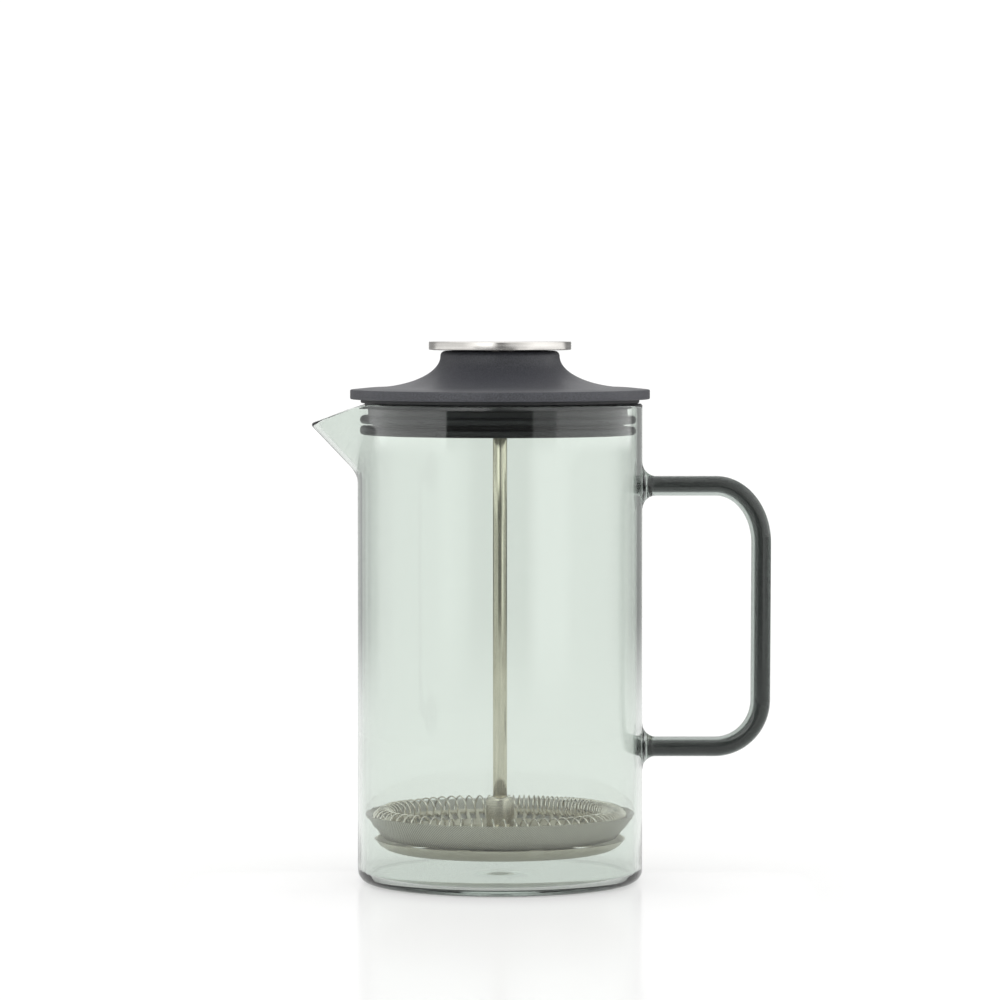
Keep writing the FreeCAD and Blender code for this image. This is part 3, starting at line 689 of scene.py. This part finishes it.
# rolled sheet, pressed: along X, 1.1 mm apart
sheet_steel = marked_steel("stainless_steel_pressed_sheet", "#CBC6B6", "#E2DDCF", 0.36, "Object",
                           (60, 900, 900))
hidden_steel = marked_steel("stainless_steel_turned_small", "#9C978C", "#B7B2A7", 0.26, "Object",
                            (90, 90, 1400))
# drawn spring wire, bright
wire_steel = marked_steel("stainless_steel_spring_wire", "#CFCABE", "#EAE6DD", 0.15, "UV", (1.0, 0.3, 1))
for material in (disc_steel, turned_steel, rod_steel, sheet_steel, hidden_steel, wire_steel):
    print(material.name, "has", len(material.node_tree.nodes), "nodes")

# %% [markdown]
# ## The plunger
# The disc is pressed by hand, the rod carries it through the lid, and the collar at the foot
# pushes the filter down. All three are plain turned shapes. The CAD model's own meshes would do,
# but a finer grid gives their edges a real radius, and a UV map that the tool marks follow.

# %% Disc, rod and collar
disc_low, disc_high = box_mm("knob_disc")
rod_low, rod_high = box_mm("plunger_rod")
hub_low, hub_high = box_mm("rod_hub")
DISC_EDGE = 0.35
HUB_ROUND = 1.2
HUB_TAPER_H, HUB_TAPER = 4.0, 0.7
# the rod ends in a thinner stud, which the collar is screwed on
STUD_R, STUD_GAP, STUD_SEAT = 2.0, 0.1, 4.1
disc_r, rod_r, hub_r = disc_high[0], rod_high[0], hub_high[0]

disc_corners = [(0.5, disc_low[2]), (disc_r, disc_low[2]), (disc_r, disc_high[2]), (0.5, disc_high[2])]
disc = turned_piece("disc_steel", rounded(disc_corners, [0, DISC_EDGE, DISC_EDGE, 0], 6), 256, ring=False)
dress(disc, disc_steel)
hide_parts("knob_disc")

rod_foot, rod_head = hub_low[2] + STUD_SEAT, box_mm("knob_boss")[0][2]
rod_corners = [(0.3, rod_low[2]), (STUD_R, rod_low[2]), (STUD_R, rod_foot), (rod_r, rod_foot),
               (rod_r, rod_head), (0.3, rod_head)]
rod = turned_piece("rod_steel", rounded(rod_corners, [0, 0.3, 0, 0.3, 0.3, 0], 4), 64, ring=False)
dress(rod, rod_steel)
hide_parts("plunger_rod")

hub_in = STUD_R + STUD_GAP
hub_corners = [(hub_in, hub_low[2]), (hub_r - HUB_TAPER, hub_low[2]), (hub_r, hub_low[2] + HUB_TAPER_H),
               (hub_r, hub_high[2]), (rod_r + 0.45, hub_high[2]), (rod_r + 0.05, hub_high[2] - 0.5),
               (rod_r + 0.05, rod_foot), (hub_in, rod_foot)]
hub = turned_piece("hub_steel", rounded(hub_corners, [0, 0.5, 2.0, HUB_ROUND, 0.2, 0.1, 0, 0], 6), 96)
dress(hub, turned_steel)
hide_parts("rod_hub")

for piece in (disc, rod, hub):
    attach(piece, "plunger")
dress_node("knob_boss", hidden_steel)

# %% [markdown]
# ## The spring
# The spring is a long coil bent into a ring. Its two ends lie side by side for part of the way,
# so the turns there are twice as close. A helix round a circle makes both: the path simply runs
# on past a full circle, and the stretch that is covered twice is the overlap.

# %% The spring's sizes
spring_low, spring_high = box_mm("coil_spring")
WIRE_R = 0.3
# the visible ring is a little smaller than the CAD ring's box, and sits a little higher in it
COIL_SLACK, RING_SLACK, RING_RISE = 0.25, 1.1, 0.5
COIL_R = (spring_high[2] - spring_low[2]) / 2 - WIRE_R - COIL_SLACK
RING_R = spring_high[0] - COIL_R - WIRE_R - RING_SLACK
RING_Z = (spring_high[2] + spring_low[2]) / 2 + RING_RISE
COIL_PITCH = 3.65
OVERLAP_FROM = math.radians(84)
OVERLAP = math.radians(120)
turns_round = round(2 * np.pi * RING_R / COIL_PITCH)
print("spring ring", round(RING_R, 2), "coil", round(COIL_R, 2), "turns", turns_round)


# %% The spring
def spring_grid(per_turn=28, sides=7):
    """The path goes round the ring by angle a and round the coil by angle b, with b running
    turns_round times faster: r = ring + coil cos b, z = middle + coil sin b. Past the full
    circle b is half a turn out, so the second layer lies between the turns of the first."""
    total = 2 * np.pi + OVERLAP
    turns = total / (2 * np.pi) * (turns_round + 0.5)
    share = np.linspace(0, 1, int(turns * per_turn))
    a = OVERLAP_FROM - share * total
    b = share * turns * 2 * np.pi
    # wound by machine, but each turn leans a little its own way
    wobble = 0.06 * np.sin(share * turns * 1.7 + 0.6) + 0.03 * np.sin(share * turns * 4.3)
    coil = COIL_R - 0.12 + 0.08 * np.sin(share * turns * 0.9)
    r = RING_R + coil * np.cos(b)
    z = RING_Z + coil * np.sin(b)
    swing = wobble * COIL_PITCH / RING_R * np.sin(b)
    path = np.stack([r * np.cos(a + swing), r * np.sin(a + swing), z], axis=-1)
    along = np.gradient(path, axis=0)
    along /= np.linalg.norm(along, axis=1, keepdims=True)
    centre = np.stack([RING_R * np.cos(a), RING_R * np.sin(a), np.full(len(a), RING_Z)], axis=-1)
    out = path - centre
    out -= (out * along).sum(axis=1, keepdims=True) * along
    out /= np.linalg.norm(out, axis=1, keepdims=True)
    side = np.cross(along, out)
    angle = np.linspace(0, 2 * np.pi, sides, endpoint=False)[None, :, None]
    tube = path[:, None] + WIRE_R * (out[:, None] * np.cos(angle) + side[:, None] * np.sin(angle))
    length = np.r_[0, np.cumsum(np.linalg.norm(np.diff(path, axis=0), axis=1))]
    round_wire = np.linspace(0, 2 * np.pi * WIRE_R, sides + 1)
    return tube, np.stack(np.broadcast_arrays(round_wire, length[:, None]), axis=-1)


spring = grid_piece("spring_wire", *spring_grid())
dress(spring, wire_steel)
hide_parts("coil_spring")
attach(spring, "filter")

# %% [markdown]
# ## The woven screen
# The screen is cloth woven from steel wire thinner than a hair and pressed into a shallow pan.
# Modelling each wire would take millions of faces. The pan is a thin shell instead, and the
# weave is drawn on it: two sets of threads cross on the slant, and between them it is open.


# %% Steel wire cloth
# the real threads lie 0.15 mm apart, too fine to show, and are drawn four times as coarse
THREAD = 0.62


def wire_cloth():
    """Steel cloth on UV in millimetres, turned by 45 degrees. A thread is where a wave across it
    is high: sin(2 pi distance / THREAD)."""
    material, output = new_material("stainless_steel_wire_cloth")
    place = add_node(material, "TexCoord").outputs["UV"]
    slant = add_node(material, "Mapping", Vector=place, Rotation=(0, 0, math.radians(45)),
                     Scale=(1 / THREAD, 1 / THREAD, 1))
    split = add_node(material, "SeparateXYZ", Vector=slant.outputs[0])
    waves = []
    for axis in ("X", "Y"):
        phase = add_node(material, "Math", {"operation": "MULTIPLY"}, _0=split.outputs[axis],
                         _1=2 * math.pi)
        wave = add_node(material, "Math", {"operation": "SINE"}, _0=phase.outputs[0])
        waves.append(wave.outputs[0])
    height = add_node(material, "Math", {"operation": "MAXIMUM"}, _0=waves[0], _1=waves[1])
    # the openings keep a tenth of the cloth, for the fine threads that aren't drawn
    cover_share = add_node(material, "MapRange", Value=height.outputs[0], From_Min=0.0, From_Max=0.32,
                           To_Min=0.1, To_Max=1.0)
    # painted light and shade: the threads that run one way are painted lighter and the threads that run the
    # other way darker, as light falls on them
    painted_thread_light = add_node(material, "Math", {"operation": "SUBTRACT"}, _0=waves[0], _1=waves[1])
    tone = add_node(material, "MapRange", Value=painted_thread_light.outputs[0], From_Min=-1.6, From_Max=1.6)
    colour = add_node(material, "Mix", {"data_type": "RGBA"}, _0=tone.outputs[0], _6=srgb("#CBC6B6"),
                      _7=srgb("#FEFBF2"))
    relief = add_node(material, "Bump", Height=height.outputs[0], Strength=0.6, Distance=0.06 * MM)
    # round wires send light every way, so the cloth is part dull and only part mirror
    finish_surface(material, output, Base_Color=colour.outputs[2], Metallic=0.05, Roughness=0.5,
                   Alpha=cover_share.outputs[0], Normal=relief.outputs[0])
    return material


cloth_steel = wire_cloth()
print("threads", THREAD, "mm apart:", len(cloth_steel.node_tree.nodes), "nodes")


# %% The screen's pan
screen_low, screen_high = box_mm("mesh_screen")
SCREEN_T = 0.2
FOOT_IN, WAIST_IN, WAIST_H, FOOT_RISE = 7.4, 4.6, 3.6, 0.3
FOOT_TURN, FLAT_MARGIN = 1.2, 1.0
HOLE_R = 3.15


def screen_side():
    """The underside's line from the middle hole to the rim: flat, a tight turn, and a side that
    leans out on a smooth curve through foot, waist and rim."""
    z = screen_low[2]
    foot = np.array([BORE_R - FOOT_IN, z + FOOT_RISE])
    waist = np.array([BORE_R - WAIST_IN, z + WAIST_H])
    rim = np.array([screen_high[0], screen_high[2]])
    share = np.linspace(0, 1, 20)[:, None]
    middle = (waist - 0.25 * foot - 0.25 * rim) / 0.5
    side = foot * (1 - share) ** 2 + 2 * middle * share * (1 - share) + rim * share ** 2
    flat = line((HOLE_R, z), (foot[0] - FOOT_TURN, z), 12)
    return np.concatenate([flat, [(foot[0] - FOOT_TURN, z)], side])


def screen_grid(columns=256):
    """The underside's line out and the same line back, moved in and up by the cloth's thickness.
    Flat cloth has x and y as its UV, and the side has arc length and distance along the line."""
    under = screen_side()
    along = np.gradient(under, axis=0)
    along /= np.linalg.norm(along, axis=1, keepdims=True)
    above = under + SCREEN_T * np.stack([-along[:, 1], along[:, 0]], axis=-1)
    above[:, 1] = np.minimum(above[:, 1], screen_high[2])
    profile = np.concatenate([under, above[::-1]])
    turn = np.linspace(0, 2 * np.pi, columns + 1)
    r, z = profile[:, :1], profile[:, 1:]
    points = np.stack(np.broadcast_arrays(r * np.cos(turn), r * np.sin(turn), z), axis=-1)
    length = np.r_[0, np.cumsum(np.linalg.norm(np.diff(under, axis=0), axis=1))]
    length = np.r_[length, length[::-1]][:, None]
    side_uv = np.stack(np.broadcast_arrays(turn * (BORE_R - WAIST_IN), length), axis=-1)
    flat = (profile[:, :1] < BORE_R - FOOT_IN - FLAT_MARGIN)[..., None]
    return points[:, :-1], np.where(flat, points[..., :2], side_uv)


screen = grid_piece("screen_cloth", *screen_grid(), ring=True)
dress(screen, cloth_steel)
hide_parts("mesh_screen")
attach(screen, "filter")
dress_node("spiral_plate", sheet_steel)
dress_node("mesh_eyelet", hidden_steel)
dress_node("cross_plate", sheet_steel)
dress_node("cross_plate_nut", hidden_steel)

# %% [markdown]
# ## The studio
# Glass and steel show what stands round them. In a studio, glass stands before a bright back,
# with black cloth beside it so that its edges go dark, and a tall soft light on each side lights
# the steel. Lamps and planes could be set up one by one. Here the white room lights everything
# evenly, and the cloths and soft lights are one curved screen that only mirrored rays see, so
# they never stand in the picture, and each is a stretch of one curve.


# %% Floor
FLOOR_HALF = 30.0
# a film of air stays between glass and floor, because touching faces would blot out the light
# that the base mirrors inside
AIR_FILM = 0.15 * MM
STRIP_HALF, STRIP_END, STRIP_BACK = 70 * MM, 110 * MM, 30 * MM
STRIP_GLOSS, STRIP_GLOW, SHEET_GLOW = 0.008, 0.39, 0.47


def floor_material():
    """White acrylic sheet on a light table: part of its white is its own glow, so things stand
    on it almost without a shadow. A strip in front of the jug has a dull gloss that mirrors it
    faintly. The strip fades out between STRIP_HALF and STRIP_END to each side, and behind the
    jug's middle. There is less glow where there is gloss, so the sheet looks evenly white."""
    material, output = new_material("white_acrylic_sheet")
    place = add_node(material, "TexCoord").outputs["Object"]
    split = add_node(material, "SeparateXYZ", Vector=place)
    aside = add_node(material, "Math", {"operation": "ABSOLUTE"}, _0=split.outputs["X"])
    narrow = add_node(material, "MapRange", Value=aside.outputs[0], From_Min=STRIP_HALF,
                      From_Max=STRIP_END, To_Min=1.0, To_Max=0.0)
    front = add_node(material, "MapRange", Value=split.outputs["Y"], From_Min=-STRIP_BACK,
                     From_Max=STRIP_BACK, To_Min=1.0, To_Max=0.0)
    strip = add_node(material, "Math", {"operation": "MULTIPLY"}, _0=narrow.outputs[0],
                     _1=front.outputs[0])
    gloss = add_node(material, "MapRange", Value=strip.outputs[0], To_Min=0.0, To_Max=STRIP_GLOSS)
    glow = add_node(material, "MapRange", Value=strip.outputs[0], To_Min=SHEET_GLOW,
                    To_Max=STRIP_GLOW)
    haze = add_node(material, "TexNoise", Vector=place, Scale=6.0, Detail=2.0)
    shine = add_node(material, "MapRange", Value=haze.outputs["Fac"], To_Min=0.14, To_Max=0.18)
    finish_surface(material, output, Base_Color=srgb("#BBBBBA"), Roughness=shine.outputs[0],
                   Specular_IOR_Level=gloss.outputs[0], Emission_Color=srgb("#FFFFFF"),
                   Emission_Strength=glow.outputs[0])
    material.cycles.emission_sampling = "NONE"
    return material


floor_mesh = bpy.data.meshes.new("floor")
corners = [(x * FLOOR_HALF, y * FLOOR_HALF, -AIR_FILM) for x, y in ((-1, -1), (1, -1), (1, 1), (-1, 1))]
floor_mesh.from_pydata(corners, [], [(0, 1, 2, 3)])
floor = bpy.data.objects.new("floor", floor_mesh)
bpy.context.scene.collection.objects.link(floor)
dress(floor, floor_material())

# %% The white room
HORIZON, OVERHEAD = 1.06, 1.25


def white_room():
    """The world: white all round, brighter overhead. Its light is found by following the rays
    that surfaces scatter, which suits a room that is nearly even."""
    world = bpy.data.worlds.new("white_room")
    world.use_nodes = True
    world.node_tree.nodes.clear()
    direction = add_node(world, "TexCoord").outputs["Generated"]
    split = add_node(world, "SeparateXYZ", Vector=direction)
    level = add_node(world, "MapRange", {"interpolation_type": "SMOOTHSTEP"}, Value=split.outputs["Z"],
                     From_Min=0.2, From_Max=0.8, To_Min=HORIZON, To_Max=OVERHEAD)
    background = add_node(world, "Background", Color=(1, 1, 1, 1), Strength=level.outputs[0])
    output = add_node(world, "OutputWorld")
    world.node_tree.links.new(background.outputs[0], output.inputs["Surface"])
    world.cycles.sampling_method = "NONE"
    bpy.context.scene.world = world


white_room()
print("the room's light goes from", HORIZON, "at the horizon to", OVERHEAD, "overhead")

# %% The screens that shiny surfaces mirror
CLOTH_R, CLOTH_TOP, CLOTH_END = 600.0, 720.0, 165
# heights in mm: the foot's fade ends, then each change to the next curve starts and ends
FADE_TOP, MIDDLE_FROM, MIDDLE_BY, HIGH_FROM, HIGH_BY = 60.0, 132.0, 140.0, 158.0, 168.0
FOOT_GLOW = 0.9


def screen_glow(turn, z):
    """Brightness at an angle from the camera, in degrees to its right, and at height z. Black
    cloth stands in front and beside the bright back, with a tall soft light between on each
    side. The soft lights are weak near the floor, strong at the height of the lid, and above it
    the left one reaches further round. Each height has its own curve, and one turns into the
    next by the share s^2 (3 - 2 s)."""
    low = np.interp(turn, [-160, -118, -108, -40, -22, 20, 30, 50, 60, 104, 114, 160],
                    [0.45, 0.35, 0.85, 0.85, 0.24, 0.24, 1.35, 1.35, 0.8, 0.8, 0.3, 0.3])
    middle = np.interp(turn, [-130, -127, -42.5, -41.5, 25.3, 26.3, 43.8, 44.8, 127, 130],
                       [0.4, 1.5, 1.5, 0.1, 0.1, 0.75, 0.75, 1.5, 1.5, 0.3])
    high = np.interp(turn, [-130, -120, -60, -24, -12, -4, 2, 16, 24, 60, 120, 130],
                     [0.4, 0.9, 1.0, 2.2, 2.2, 0.25, 0.2, 0.9, 1.0, 1.7, 1.4, 0.3])
    glow = FOOT_GLOW
    for start, end, curve in ((0.0, FADE_TOP, low), (MIDDLE_FROM, MIDDLE_BY, middle),
                              (HIGH_FROM, HIGH_BY, high)):
        share = np.clip((z - start) / (end - start), 0, 1)
        glow = glow + (curve - glow) * share ** 2 * (3 - 2 * share)
    return glow


def light_cloth():
    """Cloth that glows with its own 'glow', and that only a mirrored ray sees."""
    material, output = new_material("softbox_cloth")
    ray = add_node(material, "LightPath")
    glow = add_node(material, "Attribute", {"attribute_name": "glow"})
    lit = add_node(material, "Emission", Color=(1, 1, 1, 1), Strength=glow.outputs["Fac"])
    clear = add_node(material, "BsdfTransparent")
    seen = add_node(material, "MixShader", _0=ray.outputs["Glossy Depth"], _1=clear.outputs[0],
                    _2=lit.outputs[0])
    material.node_tree.links.new(seen.outputs[0], output.inputs["Surface"])
    material.cycles.emission_sampling = "NONE"
    return material


def studio_screens():
    """Part of an upright cylinder, open at the back: x = R sin t, y = -R cos t."""
    turn = np.linspace(-CLOTH_END, CLOTH_END, 4 * CLOTH_END + 1)
    height = np.r_[np.linspace(0, FADE_TOP, 13), np.linspace(MIDDLE_FROM, HIGH_BY, 19), 400, CLOTH_TOP]
    angle, z = np.meshgrid(np.radians(turn), height)
    points = np.stack([CLOTH_R * np.sin(angle), -CLOTH_R * np.cos(angle), z], axis=-1) * MM
    rows, columns = angle.shape
    index = np.arange(rows * columns).reshape(rows, columns)
    quads = np.stack([index[:-1, :-1], index[:-1, 1:], index[1:, 1:], index[1:, :-1]], axis=-1)
    mesh = bpy.data.meshes.new("studio_screens")
    mesh.from_pydata(points.reshape(-1, 3).tolist(), [], quads.reshape(-1, 4).tolist())
    glow = mesh.attributes.new("glow", "FLOAT", "POINT")
    glow.data.foreach_set("value", screen_glow(np.degrees(angle), z).ravel())
    screens = bpy.data.objects.new("studio_screens", mesh)
    bpy.context.scene.collection.objects.link(screens)
    dress(screens, light_cloth())


studio_screens()
print("the screen in front at 0, 100 and 200 mm up glows", [
    round(float(screen_glow(0.0, z)), 2) for z in (0.0, 100.0, 200.0)])

# %% How the light is counted
bpy.context.scene.view_settings.view_transform = "Standard"
# light that runs along inside the glass base is mirrored many times before it leaves
cycles = bpy.context.scene.cycles
cycles.max_bounces = 24
cycles.glossy_bounces = 16
cycles.transmission_bounces = 24
cycles.transparent_max_bounces = 24
print("bounces", cycles.max_bounces, "of which mirrored", cycles.glossy_bounces)
